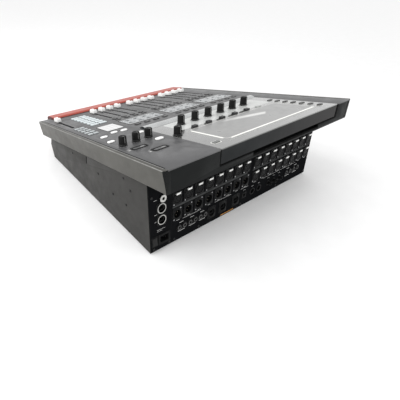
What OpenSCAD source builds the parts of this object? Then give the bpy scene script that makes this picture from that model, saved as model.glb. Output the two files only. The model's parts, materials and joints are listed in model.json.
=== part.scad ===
// Compact digital mixing desk: a sloping control slab on a wedge-shaped lower
// body, with a tilting touch-screen unit, thirteen motor faders and a rear
// connector panel set back under the slab.
// +X is the operator's right, +Y points away from the operator, +Z is up.
// The origin is the centre of the footprint on the table.

/* [Overall] */
// Overall width across the two side cheeks
desk_w = 613; // [600:1:640]
// Length of the sloping top from front edge to rear edge
deck_len = 576; // [570:1:590]
// Slope of the top, degrees
tilt = 12.16; // [10:0.01:14]
// Height of the front top edge above the body's underside
front_h = 99.6; // [96:0.1:104]
// Thickness of the control slab, square to its top
slab_t = 45; // [44:0.5:48]
// How far each slab side leans inwards at its lower edge
side_draft = 5; // [3:0.5:7]
// Inset of the lower body from the slab on each side
body_inset = 13.3; // [12:0.1:16]
// Height of the rubber feet
foot_h = 3; // [2:0.5:6]
// Sheet thickness of the lower body
sheet = 2; // [1.5:0.5:2.5]

/* [Faders] */
// Centre of the first channel fader, measured from the centre line
fader_x0 = 148; // [146:0.5:150]
// Pitch between neighbouring faders
fader_pitch = 30.4; // [30:0.1:31]
// Extra space between the groups of four
fader_gap = 19; // [17:0.5:21]
// Centre of the main fader
main_x = 271.5; // [268:0.5:273]
// Rest position of the faders along the slope
fader_v = 72; // [70:0.5:74]
// Fader travel
fader_travel = 100; // [60:1:100]
// Width of a fader cap
cap_w = 13; // [11:0.5:14]
// Length of a fader cap
cap_l = 24; // [20:0.5:26]

/* [Knobs] */
// Radius of the knob skirt
knob_r = 9.4; // [8:0.1:9.8]
// Height of a knob above the surface
knob_h = 20; // [16:0.5:24]
// Radius of the encoder shafts
shaft_r = 3; // [2.9:0.05:3.1]

/* [Screen unit] */
// Left end of the screen unit
screen_x0 = -240; // [-242:0.5:-238]
// Right end of the screen unit
screen_x1 = 168.2; // [166:0.1:170]
// Hinge position along the slope
hinge_v = 348; // [347:0.5:349]
// Hinge depth below the top surface
hinge_d = 12; // [11.5:0.5:12.5]
// Radius of the rounded hinge barrel
barrel_r = 17; // [16:0.1:17]
// Thickness of the screen unit
screen_t = 30; // [28:0.5:31]

/* [Rear panel] */
// Position of the connector panel along the slope
panel_v = 513.4; // [510:0.1:516]
// Sideways pitch of the round microphone sockets
xlr_pitch = 32.2; // [31.5:0.1:32.4]
// Centre height of the upper socket row
row1_e = 95.2; // [94:0.1:96]
// Centre height of the lower socket row
row2_e = 58.3; // [57:0.1:59]

/* [Hidden] */
$fn = 48;

half_w = desk_w / 2;
body_hw = half_w - body_inset;
deck_t = 2.5;
cheek_in = half_w - 10; // inner edge of a cheek
panel_t = 2;
fit = 0.02; // clearance between touching parts

// wrist rest section: front face (along the slope) and corner radius
arm_front = -26;
arm_r = 6;

// y limits of the whole desk before it is centred
sin_tilt = sin(tilt);
cos_tilt = cos(tilt);
y_front = (arm_front + arm_r) * cos_tilt - arm_r;
y_rear = deck_len * cos_tilt + slab_t * sin_tilt;
edge_y = -(y_front + y_rear) / 2; // front top edge once centred

// ----------------------------------------------------------------- frames

// deck frame: x across, y along the slope, z square to the top surface
module deck() translate([0, edge_y, foot_h + front_h]) rotate([tilt, 0, 0]) children();
// level frame: y from the front top edge, z from the body's underside
module level() translate([0, edge_y, foot_h]) children();
// panel frame at each [x, height] place: z points out of the panel, y points down
panel_base = -201.2; // deck-frame z of panel height 0
module on_panel(places) deck() for (p = places)
  translate([p[0], panel_v, panel_base + p[1]]) rotate([-90, 0, 0]) children();

// deck-frame [y, z] of a point given in the level frame
function level_pt(y, z) = [
  y * cos_tilt + (z - front_h) * sin_tilt,
  -y * sin_tilt + (z - front_h) * cos_tilt];
// deck-frame z at slope position v of the level plane at height z
function level_at(v, z) = (z - front_h - v * sin_tilt) / cos_tilt;

// ----------------------------------------------------------------- shapes

// box given by its lower and upper corners
module box(low, high) translate(low) cube(high - low);
// the next three are centred on the z axis and run from low to high
module block(size, low, high)
  translate([-size[0] / 2, -size[1] / 2, low]) cube([size[0], size[1], high - low]);
module disc(radius, low, high) translate([0, 0, low]) cylinder(r = radius, h = high - low);
module plate(size, corner, low, high)
  translate([0, 0, low]) linear_extrude(high - low) {
    square([size[0] - 2 * corner, size[1]], center = true);
    square([size[0], size[1] - 2 * corner], center = true);
    for (sx = [-1, 1], sy = [-1, 1])
      translate([sx * (size[0] / 2 - corner), sy * (size[1] / 2 - corner)]) circle(r = corner);
  }
// rods along x (centred) and along y
module x_rod(radius, length)
  rotate([0, 90, 0]) cylinder(r = radius, h = length, center = true);
module y_rod(radius, from, to) rotate([-90, 0, 0]) disc(radius, from, to);
// [y, z] outline swept along x, centred
module along_x(width)
  rotate([90, 0, 90]) translate([0, 0, -width / 2]) linear_extrude(width) children();
// stands its children at each [x, y] place
module at_each(places) for (p = places) translate([p[0], p[1], 0]) children();

// ------------------------------------------------- layout of the controls
// all places are [across, along the slope]

function channel_x(k) = fader_x0 - k * fader_pitch - floor(k / 4) * fader_gap;
channel_xs = [for (k = [0:11]) channel_x(k)];
fader_xs = concat(channel_xs, [main_x]);
fader_start = fader_v - 14; // ends of the fader units
fader_end = fader_v + fader_travel + 14;

deck_knobs = [[271, 412], [235.5, 410.5], [201, 409.5]];
screen_knobs = [for (i = [0:5]) [90 - i * 46, 395]];
wheel_place = [156, 452];

// key sets: [places, size, corner radius, rise above the surface]
key_gap = 0.3;
grid_set = [[for (i = [0:6], x = [192.5, 218.5]) [x, 79 + i * 20.2]], [22, 13], 1.2, 1.8];
channel_set = [[for (v = [196, 211, 301], x = channel_xs) [x, v]], [15, 9], 1.2, 1.6];
main_set = [[for (i = [0:4], x = [258.5, 273.5]) [x, 203 + i * 18.5]], [12, 10], 1.2, 1.6];
white_set = [[[266, 328], [275, 372], [229, 314], [203, 318], [190, 366]], [18, 11], 2.7, 2];
oval_set = [[[195, 438]], [20, 12], 5.6, 2];
screen_set = [[for (p = screen_knobs) [p[0], 438]], [13, 10], 1.2, 2.5];
menu_set = [concat([for (i = [0:6]) [-217, 422 + i * 21]], [[145, 543]]), [16, 8], 2.2, 1.4];

display_gap = 0.2;
display_corner = 1.8;
channel_display_size = [3 * fader_pitch + 26, 54];
channel_display_places =
  [for (g = [0:2]) [(channel_x(4 * g) + channel_x(4 * g + 3)) / 2, 259]];
control_display_size = [48, 54];
control_display_place = [209, 265];

deck_ports = [[256, 448], [233, 484]];

// --------------------------------------------- layout of the rear panel
// all places are [across, height on the panel]

function xlr_x(k) = k < 8 ? 217.4 - k * xlr_pitch : -47.6 - (k - 8) * xlr_pitch;
xlr_upper = [for (k = [0:15]) [xlr_x(k), row1_e]];
xlr_lower_male = [for (k = [0:7]) [xlr_x(k), row2_e]];
xlr_lower_female = [for (k = [8:15]) [xlr_x(k), row2_e]];
xlr_females = concat(xlr_upper, xlr_lower_female);

data_e = 17; // centre height of the data ports
jacks = [for (x = [212, 196, 179, 163, 147, 131, -190, -208, -226, -244]) [x, 21]];
data_ports = [for (x = [109, 70, 23]) [x, data_e]];
midi_ports = [for (x = [-43, -70]) [x, data_e]];
bnc_ports = [for (x = [-110, -134, -158]) [x, data_e]];
usb_port = [-11, data_e];
// sockets on the separate plate at the right end
end_sockets = [[260.4, 89.4], [260.8, 62.5]];
phones = [256.2, 110.4];
inlet = [255, 14];
rocker = [281, 14];

// ---------------------------------------------------------------- chassis

// [y, z] side profile of the lower body, shrunk by inset; back is its rear end
module body_profile(inset, back) polygon([
  level_pt(62 + inset, inset), level_pt(46 + inset * 0.6, 40),
  [46 + inset, -slab_t], [back, -slab_t], [back, level_at(back, inset)]]);

module base_shell() color([0.30, 0.29, 0.28]) difference() {
  deck() along_x(2 * body_hw) body_profile(0, panel_v);
  deck() along_x(2 * (body_hw - sheet)) body_profile(sheet, panel_v + 5);
  level() {
    // cooling slots in the underside
    for (i = [0:11], y = [130, 420]) translate([-120 + i * 14, y, -5]) cube([5, 45, 12]);
    // short upright slot in each side wall
    for (side = [-1, 1])
      translate([side * body_hw - 5, 277, front_h - 14]) cube([10, 3, 20]);
  }
}

// openings through the connector panel
module panel_holes(places, radius) on_panel(places) disc(radius, -6, 6);
module panel_window(place, size) on_panel([place]) block(size, -6, 6);

module rear_panel() color([0.12, 0.12, 0.12]) difference() {
  edge = body_hw - sheet - fit;
  split_x = 233.4; // joint between the main panel and the right end plate
  split_gap = 0.4; // clearance on each side of the joint
  bottom = level_at(panel_v - panel_t, sheet) + fit;
  deck() for (ends = [[-edge, split_x - split_gap], [split_x + split_gap, edge]])
    box([ends[0], panel_v - panel_t, bottom], [ends[1], panel_v, -slab_t]);
  panel_holes(concat(xlr_females, xlr_lower_male, data_ports, end_sockets), 12);
  panel_holes(jacks, 6);
  panel_holes([phones], 7);
  panel_holes(midi_ports, 8);
  panel_holes(bnc_ports, 5);
  panel_window(usb_port, [13, 12]);
  panel_window(inlet, [28, 21]);
  panel_window(rocker, [13.2, 21.2]);
}

// [x, z] section of one cheek: sloping outer face, thin land beside the deck plate
cheek_profile = [
  [cheek_in, 0], [half_w - 1, 0], [half_w, -1.2],
  [half_w - side_draft + 0.3, -slab_t + 2.5], [half_w - side_draft - 2, -slab_t],
  [half_w - side_draft - 10, -slab_t], [cheek_in - 5, -deck_t], [cheek_in, -deck_t]];

module side_cheeks() color([0.33, 0.32, 0.30]) deck()
  for (m = [0, 1]) mirror([m, 0, 0]) difference() {
    rotate([90, 0, 0]) translate([0, 0, -deck_len])
      linear_extrude(deck_len) polygon(cheek_profile);
    // rounded rear corner, square to the slope
    translate([half_w - 5, deck_len - 5, -slab_t - 1]) difference() {
      cube([12, 12, slab_t + 2]);
      translate([-1, -1, -1]) cylinder(r = 6, h = slab_t + 4);
    }
  }

// openings through the deck plate and the screen glass
module openings(places, size, corner) at_each(places) plate(size, corner, -10, 10);
module key_openings(set)
  openings(set[0], set[1] + 2 * key_gap * [1, 1], set[2] + key_gap);
module display_openings(places, size)
  openings(places, size + 2 * display_gap * [1, 1], display_corner + display_gap);
module shaft_holes(places) at_each(places) disc(shaft_r + 0.5, -5, 5);

module top_deck() color([0.22, 0.22, 0.22]) deck() difference() {
  box([-cheek_in + 0.1, 0, -deck_t], [cheek_in - 0.1, deck_len, 0]);
  // bay for the tilting screen unit
  box([screen_x0 - 1.3, hinge_v - 14.5, -5], [screen_x1 + 1.3, deck_len + 1, 5]);
  // fader slots
  openings([for (x = fader_xs) [x, fader_v + fader_travel / 2]], [4, fader_travel + 11], 1.9);
  for (set = [grid_set, channel_set, main_set, white_set, oval_set]) key_openings(set);
  shaft_holes(deck_knobs);
  display_openings(channel_display_places, channel_display_size);
  display_openings([control_display_place], control_display_size);
  openings(deck_ports, [36.2, 13.2], 5);
}

// tub around the screen unit
well_gap = 1.4;
well_wall = 1.6;
well_x0 = screen_x0 - well_gap;
well_x1 = screen_x1 + well_gap;
well_front = 328.2;
well_floor = -39.6;

module slab_pan() color([0.16, 0.16, 0.16]) deck() difference() {
  pan_hw = half_w - side_draft - 10.2;
  wall_hw = cheek_in - 5.2;
  wall_t = 2.5;
  wall_low = -slab_t + 1;
  rear = deck_len - wall_t;
  union() {
    // underside sheet around the lower body
    difference() {
      box([-pan_hw, 0, -slab_t], [pan_hw, deck_len, -slab_t + 2]);
      box([-284, 52, -slab_t - 1], [284, panel_v - panel_t - 0.2, -slab_t + 3]);
    }
    // front wall
    box([-wall_hw, 0, wall_low], [wall_hw, wall_t, -deck_t]);
    // rear wall on both sides of the screen unit
    for (ends = [[well_x1 + well_wall + 0.2, wall_hw], [-wall_hw, well_x0 - well_wall - 0.2]])
      box([ends[0], rear, wall_low], [ends[1], deck_len, -deck_t]);
    // lip below the screen unit
    box([well_x0 - well_wall - 0.4, rear, wall_low],
      [well_x1 + well_wall + 0.4, deck_len, -screen_t - 2.5]);
  }
  // finger recess for lifting the screen unit
  box([-169, deck_len - 5, -screen_t - 8], [72, deck_len + 1, -screen_t + 2]);
}

// pressed tub under the screen unit, open to the rear above the lip
module screen_well() color([0.14, 0.14, 0.14]) deck() difference() {
  box([well_x0 - well_wall, well_front - well_wall, well_floor - well_wall],
    [well_x1 + well_wall, deck_len - 2.6, -deck_t]);
  box([well_x0, well_front, well_floor], [well_x1, deck_len + 1, 5]);
  translate([0, hinge_v, -hinge_d]) x_rod(pin_r, 700);
}

pin_r = 4;
pin_head_t = 2;
// on the hinge axis, out beyond each end of the screen unit, z pointing inwards
module at_hinge_ends(out) {
  translate([screen_x1 + out, hinge_v, -hinge_d]) rotate([0, -90, 0]) children();
  translate([screen_x0 - out, hinge_v, -hinge_d]) rotate([0, 90, 0]) children();
}
module hinge_pins() color([0.75, 0.75, 0.76]) deck()
  at_hinge_ends(well_gap + well_wall + pin_head_t) {
    cylinder(r = 7, h = pin_head_t);
    cylinder(r = pin_r, h = 28);
  }

// wrist rest: rounded bar that laps over the front edge of the deck
module armrest() color([0.72, 0.25, 0.22]) deck() translate([-8, 0, 0]) along_x(552) {
  lap = 24; // rear end of the lap on the deck
  drop = -18; // centre height of the lower front corner
  corner_y = arm_front + arm_r;
  difference() {
    union() {
      translate([arm_front, drop]) square([lap - arm_r - arm_front, 0.01 - drop]);
      translate([corner_y, -1]) square([lap - arm_r - corner_y, arm_r + 1]);
      for (corner = [[corner_y, 0], [lap - arm_r, 0], [corner_y, drop]])
        translate(corner) circle(r = arm_r);
      translate([corner_y, drop - arm_r]) square([-corner_y, 8]);
    }
    // room for the slab behind and below
    translate([-0.05, -60]) square([80, 60.05]);
  }
}

module feet() color([0.05, 0.05, 0.05]) level()
  for (x = [-240, 240], y = [95, 500])
    translate([x, y, -foot_h]) cylinder(r = 12, h = foot_h - fit);

// round head with a hexagonal recess
module screw_head(radius, hex_r) difference() {
  cylinder(r = radius, h = 1);
  translate([0, 0, 0.4]) cylinder(r = hex_r, h = 1, $fn = 6);
}
// level-frame [y, z] of the screws on each side wall
side_screws = [[200, 79], [335, 87], [438, 132], [464, 115], [401, 67], [453, 70]];
panel_screws = [for (x = [-284, -150, 0, 150, 226, 240, 284], e = [-4, 120]) [x, e]];
module screws() color([0.08, 0.08, 0.08]) {
  level() for (side = [-1, 1], p = side_screws)
    translate([side * body_hw, p[0], p[1]]) rotate([0, side * 90, 0]) screw_head(3, 1.3);
  on_panel(panel_screws) screw_head(2.6, 1.2);
}

// ------------------------------------------------------- rear connectors

xlr_flange = [26, 31];
contact_r = 4.4; // radius of the circle the three contacts stand on
module at_contacts() for (a = [90, 210, 330]) rotate([0, 0, a])
  translate([contact_r, 0, 0]) children();

// flange, raised rim and barrel of a round-shell socket
module socket_blank(flange, rim_r, rim_h) {
  plate(flange, 3, 0, 1.6);
  disc(rim_r, 0, rim_h);
  disc(11.8, -18, 0.4);
}
// two screw holes on a diagonal of the flange
module flange_holes(flange) for (s = [-1, 1])
  translate([s * 9.5, s * (flange[1] / 2 - 3.5), 0]) disc(1.6, -2, 4);

// three-pole socket with a pocket for the push tab above it
module female_socket() difference() {
  socket_blank(xlr_flange, 11.6, 3.2);
  // ring groove
  difference() {
    disc(10, -12, 8);
    disc(8.6, -12, 2.6);
  }
  at_contacts() disc(1.4, -10, 10);
  box([-6.4, -15.2, -3], [6.4, -9.3, 5]);
  flange_holes(xlr_flange);
}
module male_socket() {
  difference() {
    socket_blank(xlr_flange, 11.6, 2.4);
    disc(9.6, -14, 16);
    flange_holes(xlr_flange);
  }
  at_contacts() disc(1.2, -15, -2);
}
module xlr_female() color([0.10, 0.10, 0.10]) on_panel(xlr_females) female_socket();
module xlr_male() color([0.10, 0.10, 0.10]) on_panel(xlr_lower_male) male_socket();

// push tab with its inner tongue
module xlr_latches() color([0.80, 0.80, 0.80]) on_panel(xlr_females) {
  box([-6, -14.6, 1.8], [6, -10.4, 5.8]);
  box([-3, -11.2, -1.2], [3, -9.9, 2.2]);
}

module jack(radius, rim_h) difference() {
  union() {
    disc(radius + 1.6, 0, rim_h);
    disc(radius - 0.1, -16, 1);
  }
  disc(3.2, -12, 28);
}
module jack_sockets() color([0.15, 0.15, 0.15]) {
  on_panel(jacks) jack(6, 2);
  on_panel([phones]) jack(7, 2.4);
}

// round-shell data socket with a rectangular port inside
module data_socket(flange) difference() {
  socket_blank(flange, 11.4, 2.6);
  difference() {
    disc(9.8, -8, 12);
    box([-7.5, -7, -9], [7.5, 5.5, -0.4]);
  }
  box([-5.9, -4.5, -14], [5.9, 3.5, 16]);
  flange_holes(flange);
}
module data_sockets() color([0.13, 0.13, 0.13]) {
  on_panel(data_ports) data_socket(xlr_flange);
  on_panel(end_sockets) data_socket([24.5, 24.2]);
}

module usb_socket() difference() {
  union() {
    block([12.4, 11.4], -14, 0.6);
    block([16, 15], 0, 0.8);
  }
  block([8.8, 8], -10, 10);
}
module midi_socket() difference() {
  union() {
    disc(9.4, 0, 1.2);
    disc(7.9, -14, 1);
  }
  disc(6.8, -8, 12);
  // five contact holes
  for (a = [0:45:180]) rotate([0, 0, a]) translate([4.5, 0, 0]) disc(0.8, -12, 8);
}
module bnc_socket() difference() {
  union() {
    disc(7, 0, 1);
    disc(4.8, -12, 9);
  }
  disc(3.8, -4, 16);
}
module deck_port() difference() {
  union() {
    plate([35.6, 12.6], 5, -14, 0.4);
    plate([38, 15], 6, 0, 0.6);
  }
  plate([31, 9], 4, -9, 11);
}
module usb_midi_ports() color([0.20, 0.20, 0.21]) {
  on_panel([usb_port]) usb_socket();
  on_panel(midi_ports) midi_socket();
  on_panel(bnc_ports) bnc_socket();
  // two small ports in the deck beside the screen unit
  deck() at_each(deck_ports) deck_port();
}

rocker_z = -3; // pivot of the rocker, inside the panel face
module rocker_frame() difference() {
  union() {
    plate([16, 25], 1.5, 0, 1.2);
    block([13, 21], -18, 0.5);
  }
  block([11.6, 19.8], -14, 16);
  translate([0, 0, rocker_z]) x_rod(1.3, 20);
}
module mains_inlet() color([0.08, 0.08, 0.08]) {
  on_panel([inlet]) {
    difference() {
      union() {
        plate([33, 26], 2, 0, 2);
        block([27.6, 20.6], -24, 1);
      }
      plate([23.5, 15.5], 2, -16, 14);
    }
    // three contact blades
    for (p = [[-7, 0], [0, -4.5], [7, 0]]) translate([p[0] - 1, p[1], -17]) cube([2, 4, 15]);
  }
  on_panel([rocker]) rocker_frame();
}
// rocker with a shallow hollow in its face, pressed down at one end
module power_rocker() color([0.06, 0.06, 0.06]) on_panel([rocker])
  translate([0, 0, rocker_z]) rotate([8, 0, 0]) {
    along_x(11.2) polygon([[-8.6, -1.5], [8.6, -1.5], [8.6, 6.4], [0, 4.8], [-8.6, 6.4]]);
    x_rod(1.2, 12.6);
  }

// ------------------------------------------------------- deck electronics

module channel_displays() color([0.55, 0.58, 0.60]) deck()
  at_each(channel_display_places) plate(channel_display_size, display_corner, -6, 0.3);
module control_display() color([0.88, 0.90, 0.92]) deck()
  at_each([control_display_place]) plate(control_display_size, display_corner, -6, 0.8);

// two guide rails carry the slider of each fader
rail_z = -12;
rail_xs = [-5, 5];
fader_hw = 11;
module fader_unit() {
  // tray
  difference() {
    box([-fader_hw, fader_start, -20], [fader_hw, fader_end, -5]);
    box([-9.8, fader_start + 2, -18.6], [9.8, fader_end - 2, 0]);
  }
  // end walls up to the deck plate
  for (y = [fader_start, fader_end - 2]) box([-fader_hw, y, -6], [fader_hw, y + 2, -deck_t]);
  for (x = rail_xs) translate([x, 0, rail_z]) y_rod(1.5, fader_start + 1, fader_end - 1);
}
module fader_units() color([0.60, 0.60, 0.62]) deck()
  for (x = fader_xs) translate([x, 0, 0]) fader_unit();
module fader_motors() color([0.45, 0.45, 0.47]) deck()
  for (x = fader_xs) translate([x, fader_end + 2, -21]) {
    y_rod(9, 0, 24);
    y_rod(3, 23, 26);
  }

// [y, z] side outline of a cap, dished in the middle
cap_profile = [
  [-cap_l / 2, 2.5], [cap_l / 2, 2.5], [cap_l / 2, 7],
  [cap_l / 2 - 2.5, 13.2], [cap_l / 2 - 4, 13.6], [2.4, 11.2], [0, 10.8], [-2.4, 11.2],
  [-cap_l / 2 + 4, 13.6], [-cap_l / 2 + 2.5, 13.2], [-cap_l / 2, 7]];
// cap, stem through the slot and slider on the rails
module fader_cap(x) color([0.93, 0.93, 0.92]) deck() translate([x, fader_v, 0]) {
  along_x(cap_w) polygon(cap_profile);
  block([2.4, 8], -9.5, 4);
  difference() {
    block([16, 14], -15, -9);
    for (rail_x = rail_xs) translate([rail_x, 0, rail_z]) y_rod(1.55, -10, 10);
  }
}

module encoder() difference() {
  block([13, 13], -10.5, -2.5);
  disc(shaft_r + 0.05, -9, 3);
}
module knob_encoders() color([0.35, 0.40, 0.36]) deck() at_each(deck_knobs) encoder();

// knob with a low skirt, a straight grip, a bevelled top and a shaft
module knob(place, height) color([0.06, 0.06, 0.06]) deck() at_each([place]) {
  grip_r = knob_r - 0.9;
  disc(knob_r, 0.6, 4);
  disc(grip_r, 0.6, height - 1);
  translate([0, 0, height - 1.4]) cylinder(r1 = grip_r, r2 = knob_r - 1.8, h = 1.4);
  disc(shaft_r, -8, 2);
}
module screen_knob(i) knob(screen_knobs[i], knob_h + 2);

module key_board() color([0.10, 0.35, 0.20]) deck() difference() {
  box([-262, fader_end + 1, -8.4], [288, 324, -6.8]);
  box([178, 150, -10], [238, 238, 0]);
}
// keys of one set, reaching depth below the surface
module keys(set, depth = 5) deck() at_each(set[0]) plate(set[1], set[2], -depth, set[3]);
module grid_keys() color([0.90, 0.96, 0.97]) keys(grid_set);
module channel_keys() color([0.25, 0.25, 0.26]) keys(channel_set);
module main_keys() color([0.55, 0.57, 0.58]) keys(main_set);
module white_keys() color([0.93, 0.93, 0.92]) {
  keys(white_set);
  keys(oval_set);
}

// ---------------------------------------------------------- inner modules

// open tray on four legs, with three parts standing in it
module power_supply() color([0.70, 0.70, 0.72]) level() translate([-235, 360, 8]) {
  difference() {
    cube([150, 100, 38]);
    translate([1.5, 1.5, 1.5]) cube([147, 97, 40]);
  }
  translate([10, 15, 1.5]) cube([40, 30, 26]);
  translate([65, 20, 1.5]) cylinder(r = 11, h = 30);
  translate([100, 50, 1.5]) cube([36, 36, 22]);
  for (x = [4, 140], y = [4, 90]) translate([x, y, 0]) disc(3, -5.98, fit);
}

board_place = [-50, 150, 10];
board_t = 1.6;
chip_t = 3;
cooled_chip = [60, 60]; // corner of the chip under the heat sink
module main_board() color([0.10, 0.32, 0.20]) level() translate(board_place) {
  cube([290, 230, board_t]);
  translate([0, 0, board_t]) {
    at_each([cooled_chip]) cube([40, 40, chip_t]);
    at_each([[150, 70], [150, 140]]) cube([30, 30, chip_t]);
    for (i = [0:5]) translate([20 + i * 40, 200, 0]) cube([24, 12, 8]);
  }
  // legs
  for (x = [6, 284], y = [6, 224]) translate([x, y, 0]) disc(3, -7.98, 0);
}
module heat_sink() color([0.62, 0.62, 0.64]) level()
  translate(board_place + [cooled_chip[0], cooled_chip[1], board_t + chip_t]) {
    cube([40, 40, 3]);
    for (i = [0:6]) translate([i * 6.2, 0, 3]) cube([2, 40, 16]);
  }
module preamp_board() color([0.10, 0.32, 0.20]) deck() translate([0, 0, panel_base]) {
  box([-286, 489, 40], [226, 490.6, 114]);
  for (k = [0:15]) translate([xlr_x(k), 484, 84]) cube([12, 5, 18]);
  box([-286, 470, 118], [226, 490, 119.6]);
}

// ------------------------------------------------------------ screen unit

glass_t = 2;
screen_rear = deck_len - 0.4;
module screen_body() color([0.16, 0.16, 0.17]) deck() difference() {
  union() {
    box([screen_x0, hinge_v + 4, -screen_t], [screen_x1, screen_rear, -glass_t]);
    translate([screen_x0, hinge_v, -hinge_d]) rotate([0, 90, 0])
      cylinder(r = barrel_r, h = screen_x1 - screen_x0, $fn = 96);
  }
  // hollow for the display, keys and encoders
  box([screen_x0 + 2, hinge_v + 19, -screen_t + 2], [screen_x1 - 2, screen_rear - 2, 2]);
  // flat behind the barrel that clears the glass
  box([screen_x0 - 1, hinge_v + 14.1, -glass_t], [screen_x1 + 1, hinge_v + 40, 20]);
  at_hinge_ends(1) cylinder(r = pin_r + 0.05, h = 30);
}
module screen_glass() color([0.62, 0.64, 0.66]) deck() difference() {
  box([screen_x0, hinge_v + 14.3, -glass_t], [screen_x1, screen_rear, 0]);
  shaft_holes(concat(screen_knobs, [wheel_place]));
  key_openings(screen_set);
  key_openings(menu_set);
}
module screen_module() color([0.20, 0.22, 0.24]) deck() {
  // display panel
  box([-190, 452, -9], [112, 548, -2.2]);
  at_each(concat(screen_knobs, [wheel_place])) encoder();
  // board with a window, and a block below it
  difference() {
    box([-232, 380, -12.1], [164, 560, -10.5]);
    box([-150, 470, -20], [90, 540, 0]);
  }
  box([-140, 480, -26], [60, 530, -16]);
}
module screen_keys() color([0.06, 0.06, 0.06]) keys(screen_set, depth = 8);
module menu_keys() color([0.28, 0.29, 0.30]) keys(menu_set, depth = 8);

base_shell();
rear_panel();
side_cheeks();
top_deck();
slab_pan();
screen_well();
armrest();
feet();
screws();
xlr_female();
xlr_male();
xlr_latches();
jack_sockets();
data_sockets();
usb_midi_ports();
mains_inlet();
power_rocker();
channel_displays();
control_display();
fader_units();
fader_motors();
knob_encoders();
key_board();
hinge_pins();
power_supply();
main_board();
preamp_board();
heat_sink();
fader_cap(channel_x(0));  // fader_cap_01
fader_cap(channel_x(1));  // fader_cap_02
fader_cap(channel_x(2));  // fader_cap_03
fader_cap(channel_x(3));  // fader_cap_04
fader_cap(channel_x(4));  // fader_cap_05
fader_cap(channel_x(5));  // fader_cap_06
fader_cap(channel_x(6));  // fader_cap_07
fader_cap(channel_x(7));  // fader_cap_08
fader_cap(channel_x(8));  // fader_cap_09
fader_cap(channel_x(9));  // fader_cap_10
fader_cap(channel_x(10));  // fader_cap_11
fader_cap(channel_x(11));  // fader_cap_12
fader_cap(main_x);  // fader_cap_main
knob(deck_knobs[0], knob_h);  // deck_knob_1
knob(deck_knobs[1], knob_h);  // deck_knob_2
knob(deck_knobs[2], knob_h);  // deck_knob_3
grid_keys();
channel_keys();
main_keys();
white_keys();
screen_body();
screen_glass();
screen_module();
screen_knob(0);  // screen_knob_1
screen_knob(1);  // screen_knob_2
screen_knob(2);  // screen_knob_3
screen_knob(3);  // screen_knob_4
screen_knob(4);  // screen_knob_5
screen_knob(5);  // screen_knob_6
knob(wheel_place, knob_h);  // screen_wheel
screen_keys();
menu_keys();
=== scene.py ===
import bpy, json, math
import numpy as np
from mathutils import Vector, Matrix


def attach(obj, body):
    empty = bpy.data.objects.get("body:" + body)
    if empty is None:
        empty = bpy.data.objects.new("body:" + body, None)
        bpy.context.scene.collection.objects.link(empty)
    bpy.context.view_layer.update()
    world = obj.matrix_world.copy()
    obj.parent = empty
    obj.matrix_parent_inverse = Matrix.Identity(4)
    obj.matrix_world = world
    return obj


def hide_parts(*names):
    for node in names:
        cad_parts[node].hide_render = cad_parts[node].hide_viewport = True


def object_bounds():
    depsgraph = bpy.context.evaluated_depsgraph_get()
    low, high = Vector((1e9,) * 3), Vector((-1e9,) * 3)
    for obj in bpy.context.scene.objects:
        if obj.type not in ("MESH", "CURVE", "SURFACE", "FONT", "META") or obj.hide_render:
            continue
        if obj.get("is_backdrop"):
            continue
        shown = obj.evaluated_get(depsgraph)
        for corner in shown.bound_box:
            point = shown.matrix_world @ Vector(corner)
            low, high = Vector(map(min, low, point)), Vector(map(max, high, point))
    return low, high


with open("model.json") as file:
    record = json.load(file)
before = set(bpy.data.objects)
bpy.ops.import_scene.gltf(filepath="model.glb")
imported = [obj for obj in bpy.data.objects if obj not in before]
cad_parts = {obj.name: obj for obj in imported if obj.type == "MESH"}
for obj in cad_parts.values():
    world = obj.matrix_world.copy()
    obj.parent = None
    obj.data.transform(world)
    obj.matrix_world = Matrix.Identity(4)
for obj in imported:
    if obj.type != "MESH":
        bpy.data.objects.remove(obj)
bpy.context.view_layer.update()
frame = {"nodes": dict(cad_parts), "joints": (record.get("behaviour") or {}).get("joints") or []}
NODES = frame["nodes"]
JOINTS = {j["name"]: j for j in frame["joints"]}

# ------------------------------------------------------------------ frames
# deck frame: x across, y along the slope, z square to the top; millimetres
EX = Vector((1, 0, 0))
ES = Vector(JOINTS["fader_01_slide"]["axis"]).normalized()
EU = EX.cross(ES).normalized()
HINGE = Vector(JOINTS["screen_tilt"]["pos_m"])
HINGE_V, HINGE_D = 348.0, 12.0
ORG = HINGE - ES * HINGE_V / 1000 + EU * HINGE_D / 1000
ORG.x = 0.0
DECK = Matrix((
    (EX.x, ES.x, EU.x, ORG.x),
    (EX.y, ES.y, EU.y, ORG.y),
    (EX.z, ES.z, EU.z, ORG.z),
    (0, 0, 0, 1)))
DECK_INV = np.array(DECK.inverted(), float)


def local(node):
    """Vertices of a CAD node in the deck frame, millimetres."""
    me = NODES[node].data
    co = np.zeros(len(me.vertices) * 3, np.float32)
    me.vertices.foreach_get("co", co)
    co = co.reshape(-1, 3).astype(float)
    return (co @ DECK_INV[:3, :3].T + DECK_INV[:3, 3]) * 1000


def lbox(node):
    p = local(node)
    return p.min(0), p.max(0)


def islands(node):
    """Boxes (low, high) in the deck frame of each separate solid of a node."""
    p = local(node)
    keys = {}
    remap = np.empty(len(p), int)
    for i, q in enumerate(np.round(p, 2)):
        remap[i] = keys.setdefault(tuple(q), len(keys))
    parent = list(range(len(keys)))

    def find(a):
        while parent[a] != a:
            parent[a] = parent[parent[a]]
            a = parent[a]
        return a

    for poly in NODES[node].data.polygons:
        vs = [remap[v] for v in poly.vertices]
        r = find(vs[0])
        for v in vs[1:]:
            parent[find(v)] = r
    groups = {}
    for i in range(len(p)):
        groups.setdefault(find(remap[i]), []).append(i)
    out = [(p[ix].min(0), p[ix].max(0)) for ix in groups.values()]
    out.sort(key=lambda b: (round(b[0][1], 1), -round(b[0][0], 1)))
    return out


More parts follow.
